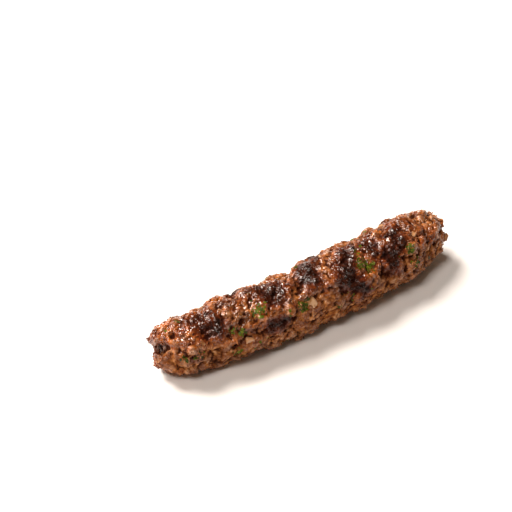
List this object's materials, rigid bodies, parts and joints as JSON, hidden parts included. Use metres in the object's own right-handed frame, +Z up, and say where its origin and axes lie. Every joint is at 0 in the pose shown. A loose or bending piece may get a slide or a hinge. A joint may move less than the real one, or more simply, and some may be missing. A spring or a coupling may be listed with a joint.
{
  "type": "kofta kebab",
  "caption": "Grilled log of seasoned minced meat, pressed by hand with slanting finger grooves, off its skewer, with a slit in one end.",
  "frame": {"origin": "On the surface the kofta rests on, under the middle of its bounding box", "axes": "X runs along the log, with the end that has the skewer's slit at -X; Z is up; -Y is the side the log bows towards"},
  "size_m": [0.1512, 0.034, 0.0301],
  "materials": {
    "grilled_mince": "satin",
    "parsley": "matte",
    "onion": "satin"
  },
  "bodies": {
    "root": {"kofta": "grilled_mince"}
  },
  "joints": []
}
